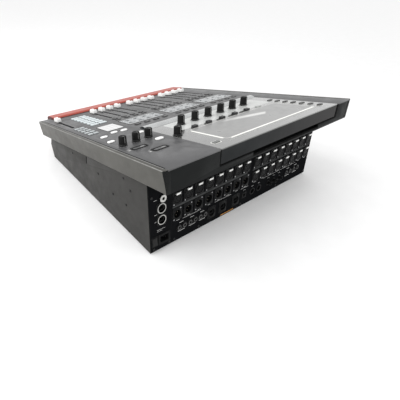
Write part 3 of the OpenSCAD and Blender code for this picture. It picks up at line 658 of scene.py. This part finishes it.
# dots round the deck knobs
b = Build()
for n in ("deck_knob_1", "deck_knob_2", "deck_knob_3"):
    c = centre(n)
    for k in range(11):
        a = math.radians(-150 + 30 * k + 90)
        b.revolve(c[0] + 12.2 * math.cos(a), c[1] + 12.2 * math.sin(a), [(0.5, -0.02), (0.5, 0.07)], 12)
b.make("knob_dots", M_PRINTW, "chassis", "pad_white")

# -------------------------------------------------------------- screen unit
glo, ghi = lbox("screen_glass")
gx0, gx1, gy0, gy1 = glo[0], ghi[0], glo[1], ghi[1]
gc = ((gx0 + gx1) / 2, (gy0 + gy1) / 2)
holes = [(centre("screen_knob_%d" % i)[0], centre("screen_knob_%d" % i)[1]) for i in range(1, 7)]
ax0, ax1, ay0, ay1 = -190.0, 112.0, 452.0, 548.0
b = Build()
# cover glass with a fine ground edge; the recesses for knobs and keys are rings laid into it
b.loft([rr(gc[0], gc[1], gx1 - gx0, gy1 - gy0, 1.2, -1.95), rr(gc[0], gc[1], gx1 - gx0, gy1 - gy0, 1.2, -0.45),
        rr(gc[0], gc[1], gx1 - gx0 - 0.9, gy1 - gy0 - 0.9, 1.2, 0.0)], 0)
b.make("cover_glass", [M_BEZEL], "screen_unit", "display_glass", replaces=["screen_glass"])
b = Build()
b.key((ax0 + ax1) / 2, (ay0 + ay1) / 2 - 4, ax1 - ax0 + 6, ay1 - ay0 + 2, 7.0, -0.2, 0.10, 0.08, 0, 0)
b.make("active_area", M_ACTIVE, "screen_unit", "display_glass", angle=12)


def tube_reflection(mat, ends, eye, half_w, strength):
    """Painted reflection: emission in one material where the mirror image of a long, narrow ceiling light would fall.
    """
    rs = []
    for x, v in ends:
        p = DECK @ Vector((x / 1000, v / 1000, 0))
        d = (Vector(eye) - p).normalized()
        rs.append((2 * EU.dot(d) * EU - d).normalized())
    n_ = rs[0].cross(rs[1]).normalized()
    t_ = (rs[1] - rs[0]).normalized()
    t = mat.node_tree
    N, L = t.nodes, t.links
    tc = N.new("ShaderNodeTexCoord")

    def dot(axis):
        d = N.new("ShaderNodeVectorMath")
        d.operation = "DOT_PRODUCT"
        L.new(tc.outputs["Reflection"], d.inputs[0])
        d.inputs[1].default_value = tuple(axis)
        return d.outputs["Value"]

    def step(src, a, c):
        m = N.new("ShaderNodeMapRange")
        m.interpolation_type = "SMOOTHSTEP"
        m.inputs["From Min"].default_value = a
        m.inputs["From Max"].default_value = c
        L.new(src, m.inputs["Value"])
        return m.outputs["Result"]

    def math_(op, p, q=None):
        m = N.new("ShaderNodeMath")
        m.operation = op
        L.new(p, m.inputs[0])
        if isinstance(q, float):
            m.inputs[1].default_value = q
        elif q is not None:
            L.new(q, m.inputs[1])
        return m.outputs[0]

    across = step(math_("ABSOLUTE", dot(n_)), half_w * 1.6, half_w * 0.4)
    q0, q1 = t_.dot(rs[0]), t_.dot(rs[1])
    along = math_("MULTIPLY", step(dot(t_), q0, q0 + (q1 - q0) * 0.75), step(dot(t_), q1 + 0.004, q1 - 0.002))
    fac = math_("MULTIPLY", math_("MULTIPLY", across, along), strength)
    b = [k for k in N if k.type == "BSDF_PRINCIPLED"][0]
    b.inputs["Emission Color"].default_value = (1.0, 1.0, 0.97, 1.0)
    L.new(fac, b.inputs["Emission Strength"])


tube_reflection(M_ACTIVE, ((50.0, 443.6), (-93.6, 487.8)), (0.588801, 0.565343, 0.474641), 0.0030, 0.42)
b = Build()
# painted highlight: one bright border round the display, wider along the rear edge and at the right end, standing in
# for the light lines the glass catches there
b.frame((ax0 + ax1) / 2, (ay0 + ay1) / 2 - 4, ax1 - ax0 + 10.6, ay1 - ay0 + 4.6, 9.3, 2.4, -0.1, 0.20, 1, seg=10)
b.plate((ax0 + ax1) / 2 - 4, ay1 - 1.2, ax1 - ax0 - 4, 4.6, 1.6, -0.1, 0.24, 0)
b.plate(ax1 + 5.4, (ay0 + ay1) / 2 - 4, 5.6, ay1 - ay0 - 12, 2.6, -0.1, 0.24, 0)
b.make("active_outline", [M_RIM, M_RIM3], "screen_unit", "display_glass")
b = Build()
b.frame((ax0 + ax1) / 2 + 3, (ay0 + ay1) / 2 - 2, ax1 - ax0 + 26, ay1 - ay0 + 12, 10, 0.8, -0.1, 0.14)
b.plate((ax0 + ax1) / 2, ay1 + 7.4, ax1 - ax0 + 18, 1.2, 0.4, -0.1, 0.14)
b.make("outer_outline", M_RIM2, "screen_unit", "display_glass")
b = Build()
b.key(-39, 400.5, 326, 66, 6.0, -0.2, 0.06, 0.05, 0, 0)
b.make("knob_band", M_SATIN, "screen_unit", "display_glass", angle=12)
b = Build()
for i in range(1, 7):
    c = centre("screen_knob_%d" % i)
    b.frame(c[0], c[1], 22.0, 22.0, 11.0, 0.9, -0.1, 0.22, seg=12)
c = centre("screen_wheel")
b.frame(c[0], c[1], 22.0, 22.0, 11.0, 0.9, -0.1, 0.22, seg=12)
for lo, hi in islands("screen_keys"):
    c, s = (lo + hi) / 2, hi - lo
    if c[0] > min(((p + q) / 2)[0] for p, q in islands("screen_keys")) + 1:
        b.frame(c[0], c[1], s[0] + 2.2, s[1] + 2.2, 2.4, 0.8, -0.1, 0.2)
for lo, hi in islands("menu_keys"):
    c, s = (lo + hi) / 2, hi - lo
    b.frame(c[0], c[1], s[0] + 2.2, s[1] + 2.2, 3.6, 0.8, -0.1, 0.2)
b.make("glass_cut_rings", M_PLASTIC, "screen_unit", "black_plastic")
# painted highlight: bright outlines round the menu keys, wider round the keys at the right end
b = Build()
for lo, hi in islands("menu_keys"):
    c, s = (lo + hi) / 2, hi - lo
    b.frame(c[0], c[1], s[0] + 4.6, s[1] + 4.6, 4.8, 0.9, -0.1, 0.16)
for lo, hi in islands("menu_keys"):
    c, s = (lo + hi) / 2, hi - lo
    if c[0] > 100:
        b.frame(c[0], c[1], s[0] + 5.0, s[1] + 5.0, 4.0, 1.5, -0.1, 0.18)
b.make("menu_key_outlines", M_RIM, "screen_unit", "display_glass")
# aluminium sleeve over the hinge barrel
b = Build()
blo, bhi = lbox("screen_body")
n = 64


def barrel(x):
    pts = []
    for j in range(n + 1):
        a = math.radians(-18 + (198 + 18) * j / n)
        pts.append((HINGE_V + 17.25 * math.cos(a), -HINGE_D + 17.25 * math.sin(a)))
    for j in range(n + 1):
        a = math.radians(198 - (198 + 18) * j / n)
        pts.append((HINGE_V + 16.6 * math.cos(a), -HINGE_D + 16.6 * math.sin(a)))
    return pts


def sleeve(x):
    return [(p[0], p[1]) for p in barrel(x) if p[0] < HINGE_V + 16.9 or p[1] < 0]


def half_sleeve(x):
    a0, a1 = 37.5, 196.0
    o = [(HINGE_V + 17.25 * math.cos(math.radians(a0 + (a1 - a0) * j / n)), -HINGE_D + 17.25 * math.sin(math.radians(a0 + (a1 - a0) * j / n))) for j in range(n + 1)]
    i = [(HINGE_V + 16.7 * math.cos(math.radians(a1 + (a0 - a1) * j / n)), -HINGE_D + 16.7 * math.sin(math.radians(a1 + (a0 - a1) * j / n))) for j in range(n + 1)]
    return o + i


b.sweep_x(half_sleeve, [blo[0] + 0.2, bhi[0] - 0.2])
b.make("barrel_sleeve", M_ALU, "screen_unit", "latch_metal")

# ----------------------------------------------------------------- armrest
alo, ahi = lbox("armrest")
b = Build()


def arm_section(x):
    # (y, z) outline; the ends taper into a rounded nose
    d = min(x - alo[0], ahi[0] - x)
    k = math.sqrt(max(0.0, 1 - max(0.0, 1 - d / 7.0) ** 2)) if d < 7.0 else 1.0
    y0, y1, top = -26.0, 24.0, 6.0
    crown = 0.45 * math.sin(math.pi * min(1, max(0, (x - alo[0]) / (ahi[0] - alo[0]))))
    pts = []
    zt = lambda q: q * (0.55 + 0.45 * k)
    r = 6.0
    for j in range(9):
        a = math.radians(180 - 90 * j / 8)
        pts.append((y0 + r + r * math.cos(a), zt(top - r + r * math.sin(a))))
    for j in range(1, 6):
        pts.append((y0 + r + (y1 - y0 - 2 * r) * j / 6, zt(top + 0.02 * crown)))
    for j in range(9):
        a = math.radians(90 - 90 * j / 8)
        pts.append((y1 - r + r * math.cos(a), zt(top - r + r * math.sin(a))))
    pts.append((y1 - 0.2, 0.06))
    pts.append((0.0, 0.06))
    pts.append((-0.06, 0.0))
    pts.append((-0.06, -23.6 * (0.7 + 0.3 * k)))
    for j in range(7):
        a = math.radians(270 - 90 * j / 6)
        pts.append((y0 + r + r * math.cos(a), (-18 + r * math.sin(a)) * (0.7 + 0.3 * k)))
    yc = -1.0
    return [(yc + (p[0] - yc) * (0.86 + 0.14 * k) if p[0] < -0.1 or p[0] > 0.1 else p[0], p[1]) for p in pts]


xs = [alo[0] + t for t in (0.05, 0.4, 1.0, 2.0, 3.2, 5.0, 7.0)] + \
     [alo[0] + 7 + (ahi[0] - alo[0] - 14) * k / 24 for k in range(1, 24)] + \
     [ahi[0] - t for t in (7.0, 5.0, 3.2, 2.0, 1.0, 0.4, 0.05)]
b.sweep_x(arm_section, [x for x in xs if alo[0] + 3.1 < x < ahi[0] - 3.1])
b.sweep_x(arm_section, [x for x in xs if x < alo[0] + 3.3], 1)
b.sweep_x(arm_section, [x for x in xs if x > ahi[0] - 3.3], 1)
b.make("front_rest", [M_RED, M_REDD], "chassis", "armrest_red", replaces=["armrest"], angle=45)
b = Build()
b.plate((alo[0] + ahi[0]) / 2, 24.9, ahi[0] - alo[0] - 2, 1.2, 0.3, -0.02, 0.9)
b.make("rest_bead", M_PLASTIC, "chassis", "black_plastic", bevel=0.2)

# --------------------------------------------------------------- deck print
b = Build()


def line(x0, y0, x1, y1, w=0.45):
    b.plate((x0 + x1) / 2, (y0 + y1) / 2, abs(x1 - x0) + w, abs(y1 - y0) + w, 0.05, -0.02, 0.05)


fx = [fader_x[n] for n in FADERS[:12]]
for g in range(3):
    left, right = fx[4 * g + 3] - 15.2, fx[4 * g] + 15.2
    for k in range(5):
        x = right - (right - left) * k / 4
        line(x, 54, x, 226, 0.5)
    line(left, 54, right, 54, 0.5)
    line(left, 185, right, 185, 0.4)
    line(left, 226, right, 226, 0.4)
    line(left, 292, right, 292, 0.4)
    for x in fx[4 * g:4 * g + 4]:
        line(x - 4, 203.5, x + 4, 203.5, 0.35)
        line(x - 4, 219, x + 4, 219, 0.35)
        line(x - 4, 309, x + 4, 309, 0.35)
line(176, 60, 236, 60)
line(176, 229, 236, 229)
line(248, 54, 248, 300, 0.5)
line(250, 296, 286, 296)
for p in islands("white_keys"):
    c = (p[0] + p[1]) / 2
    line(c[0] - 5, c[1] + 9.5, c[0] + 5, c[1] + 9.5, 0.35)
for n_ in ("deck_knob_1", "deck_knob_2", "deck_knob_3"):
    c = centre(n_)
    line(c[0] - 5, c[1] - 15, c[0] + 5, c[1] - 15, 0.35)
b.make("deck_print", M_PRINT_AND_GLINT, "chassis", "key_grey")

# painted shade: a black strip along the lip under the finger recess, standing in for the shade under the screen unit
plo, phi = lbox("slab_pan")
slo, shi = lbox("screen_body")
b = Build()
gz = slo[2] - 8.0
b.loft([[(-169, phi[1] - 0.3, gz - 3.6), (72, phi[1] - 0.3, gz - 3.6), (72, phi[1] - 0.3, gz + 0.1), (-169, phi[1] - 0.3, gz + 0.1)],
        [(-169, phi[1] + 0.12, gz - 3.6), (72, phi[1] + 0.12, gz - 3.6), (72, phi[1] + 0.12, gz + 0.1), (-169, phi[1] + 0.12, gz + 0.1)]])
b.make("recess_painted_shade", M_FELT_AND_SHADE, "chassis", "black_plastic")
# painted shade: thin black strips on the rear wall round the opening of the screen unit, standing in for the shade in
# the gap there
b = Build()
for x0, x1, z0, z1 in ((slo[0] - 7.0, slo[0] - 1.2, slo[2] - 3.8, -0.8), (shi[0] + 1.2, shi[0] + 3.0, slo[2] - 3.8, -0.8),
                       (slo[0] - 1.2, -170, slo[2] - 3.8, slo[2] - 1.2), (73, shi[0] + 1.2, slo[2] - 3.8, slo[2] - 1.2)):
    b.loft([[(x0, phi[1] - 0.3, z0), (x1, phi[1] - 0.3, z0), (x1, phi[1] - 0.3, z1), (x0, phi[1] - 0.3, z1)],
            [(x0, phi[1] + 0.12, z0), (x1, phi[1] + 0.12, z0), (x1, phi[1] + 0.12, z1), (x0, phi[1] + 0.12, z1)]])
b.make("opening_painted_shade", M_FELT_AND_SHADE, "chassis", "black_plastic")

# dark joint lines between the cheeks and the deck plate, a painted highlight line along the top of each cheek beside
# the joint, dark lips round the deck ports
tlo, thi = lbox("top_deck")
b = Build()
cheek_highlight = Build()
for s_ in (-1, 1):
    b.plate(s_ * (thi[0] - 0.9), (tlo[1] + thi[1]) / 2 + 6, 1.9, thi[1] - tlo[1] - 30, 0.1, -0.02, 0.06)
    cheek_highlight.plate(s_ * (thi[0] + 1.9), (tlo[1] + thi[1]) / 2 + 6, 1.3, thi[1] - tlo[1] - 30, 0.1, -0.02, 0.06)
cheek_highlight.make("cheek_edge_highlight", M_PRINT_AND_GLINT, "chassis", "charcoal_paint")
for lo, hi in islands("usb_midi_ports"):
    if lo[2] > -60:
        c, s_ = (lo + hi) / 2, hi - lo
        b.frame(c[0], c[1], s_[0] + 1.2, s_[1] + 1.2, 5.0, 1.5, -0.03, 0.22)
b.make("deck_seams", M_FELT_AND_SHADE, "chassis", "black_plastic")
b = Build()
for lo, hi in islands("usb_midi_ports"):
    if lo[2] > -60:
        c, s_ = (lo + hi) / 2, hi - lo
        b.plate(c[0] + s_[0] / 2 + 6.5, c[1] + 2.2, 5.2, 3.4, 0.3, -0.02, 0.05)
        b.plate(c[0] + s_[0] / 2 + 6.5, c[1] - 3.2, 5.2, 1.2, 0.3, -0.02, 0.05)
b.make("port_marks", M_PRINTW, "chassis", "pad_white")

# --------------------------------------------------- connector panel details
b, w_, am = Build(), Build(), Build()


def pl(bb, x, e, w, l, z1=0.10):
    bb.plate(x, -e, w, l, 0.1, -0.02, z1)


xf = islands("xlr_female")
xm = islands("xlr_male")
sock = []
for lo, hi in xf + xm:
    c = (lo + hi) / 2
    sock.append((c[0], c[2] - E_ZERO, (hi - lo)[0]))
rows = sorted(set(round(s_[1]) for s_ in sock))
for x, e, w in sock:
    pl(b, x - 3, e + 18.2 if e > 76 else e - 17.6, 9, 0.9)
bd_ = Build()
pl(bd_, 107, 76.9, 244, 5.2, 0.07)
pl(bd_, -160, 76.9, 250, 3.0, 0.07)
bd_.make("panel_band", M_BAND, "chassis", "key_grey", space=PANEL)
pl(b, 172, 38.6, 56, 0.7)
pl(b, 69, 38.6, 58, 0.7)
pl(b, -10, 38.6, 28, 0.7)
pl(b, -160, 38.6, 150, 0.5)
for x in (204, 171, 139, -199, -235):
    pl(b, x, 31.2, 12, 1.2)
    pl(b, x, 10.2, 20, 1.3)
for x in (-43, -70, -110, -134, -158, -11):
    pl(b, x, 31.5, 9, 0.7)
for e in (111, 78, 61):
    pl(b, 275, e, 7, 0.9)
pl(b, 262, 39, 22, 0.8)
pl(b, 266, 35.6, 14, 0.6)
b.make("panel_print", M_PRINTW, "chassis", "pad_white", space=PANEL)
pl(am, 50.7, -7.3, 48, 1.1)
am.make("panel_stripe", M_AMBER, "chassis", "armrest_red", space=PANEL)

# raised tongues in the two deck ports
b = Build()
for lo, hi in islands("usb_midi_ports"):
    if lo[2] > -60:
        c, s_ = (lo + hi) / 2, hi - lo
        b.key(c[0], c[1], s_[0] - 8.2, s_[1] - 7.2, 3.6, -3.0, 0.35, 0.25, 0, 0)
        b.plate(c[0] - 7, c[1] + 0.5, 9.5, 1.7, 0.5, 0.3, 0.42, 1)
b.make("port_tongues", [M_DECK, M_PRINTW], "chassis", "charcoal_paint")

# bright nut round the headphone socket and rings round the data sockets
b = Build()
for lo, hi in islands("jack_sockets"):
    c, s = (lo + hi) / 2, hi - lo
    x, e = c[0], c[2] - E_ZERO
    big = s[0] > 16
    ro = 8.2 if big else 5.4
    b.revolve(x, -e, [(3.5, 2.2), (ro - 1.0, 2.3), (ro, 2.6), (ro, 3.4), (ro - 0.8, 3.9), (3.5, 3.6), (3.3, 1.4)], 12 if not big else 48,
              mat=0 if big else 1, cap0=False, cap1=False)
b.make("jack_nuts", [M_NUT, M_NUTD], "chassis", "latch_metal", space=PANEL)
b = Build()
for lo, hi in islands("data_sockets"):
    c = (lo + hi) / 2
    x, e = c[0], c[2] - E_ZERO
    if x > 234:
        tall = (hi - lo)[2] > 35
        for dz in ((-(hi - lo)[2] / 2 + 12.1, (hi - lo)[2] / 2 - 12.1) if tall else (0.0,)):
            b.revolve(x, -(e + dz), [(9.4, 2.4), (11.2, 2.4), (11.3, 3.0), (10.4, 3.5), (9.4, 3.0), (9.4, 2.4)], 64, cap0=False, cap1=False)
b.make("data_rings", M_NUT, "chassis", "latch_metal", space=PANEL)
b = Build()
for lo, hi in xm:
    c = (lo + hi) / 2
    x, e = c[0], c[2] - E_ZERO
    for a in (90, 210, 330):
        aa = math.radians(a)
        b.revolve(x + 4.4 * math.cos(aa), -e + 4.4 * math.sin(aa), [(1.25, -14), (1.25, -2.8), (0.9, -1.9), (0.3, -1.6)], 16)
b.make("socket_pins", M_GOLD, "chassis", "latch_metal", space=PANEL)
b = Build()
for x, e, w in sock:
    for s_ in (-1, 1):
        b.revolve(x + s_ * 9.5, -e + s_ * 12, [(1.5, 0.2), (1.5, 1.6), (1.1, 2.0), (0.5, 1.7)], 16)
b.make("socket_screws", M_STEEL, "chassis", "black_panel", space=PANEL)

# -------------------------------------------------------------------- stage
bpy.ops.mesh.primitive_grid_add(x_subdivisions=4, y_subdivisions=4, size=60)
floor = bpy.context.object
floor.name = "floor"
floor.location.z = -0.0003
fm = material("floor_pale", (0.90, 0.90, 0.90), 0.7, var=0.01, grain=0.0)
floor.data.materials.append(fm)
floor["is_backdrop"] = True

world = bpy.data.worlds.new("studio")
bpy.context.scene.world = world
world.use_nodes = True
bg = world.node_tree.nodes["Background"]
bg.inputs[0].default_value = (1.0, 1.0, 1.0, 1)
bg.inputs[1].default_value = 1.03


def area(name, loc, target, w, h, power, col=(1, 1, 1)):
    ld = bpy.data.lights.new(name, "AREA")
    ld.shape = "RECTANGLE"
    ld.size, ld.size_y, ld.energy, ld.color = w, h, power, col
    o = bpy.data.objects.new(name, ld)
    bpy.context.scene.collection.objects.link(o)
    o.location = loc
    o.rotation_euler = (Vector(target) - Vector(loc)).to_track_quat("-Z", "Y").to_euler()
    return o


area("key_soft", (1.3, -0.6, 1.9), (0, 0, 0.1), 1.6, 1.2, 20)
area("side_soft", (2.2, -0.3, 0.9), (0.1, 0, 0.1), 1.2, 0.9, 11)

# ------------------------------------------------------------------- camera
cam_data = bpy.data.cameras.new("camera")
cam = bpy.data.objects.new("camera", cam_data)
bpy.context.scene.collection.objects.link(cam)
cam.location = (0.588801, 0.838845 - 0.273502, 0.460641 + 0.014)
cam.rotation_euler = (math.radians(50.66834), 0.0, math.radians(147.18234))
cam_data.sensor_width = 36.0
cam_data.sensor_fit = "HORIZONTAL"
cam_data.lens = 287.5596 / 400 * 36.0
cam_data.clip_start, cam_data.clip_end = 0.01, 50
# the picture is off the optical axis only from this viewpoint
for prop, val in (("shift_x", (200 - 108.2285) / 400), ("shift_y", (203.4852 - 200) / 400)):
    dr = cam_data.driver_add(prop).driver
    dr.type = "SCRIPTED"
    v = dr.variables.new()
    v.name = "x"
    v.type = "TRANSFORMS"
    v.targets[0].id = cam
    v.targets[0].transform_type = "LOC_X"
    dr.expression = "%.5f if fabs(x - 0.588801) < 0.0004 else 0.0" % val
bpy.context.scene.camera = cam
bpy.context.scene.view_settings.view_transform = "Standard"

lo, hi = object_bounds()
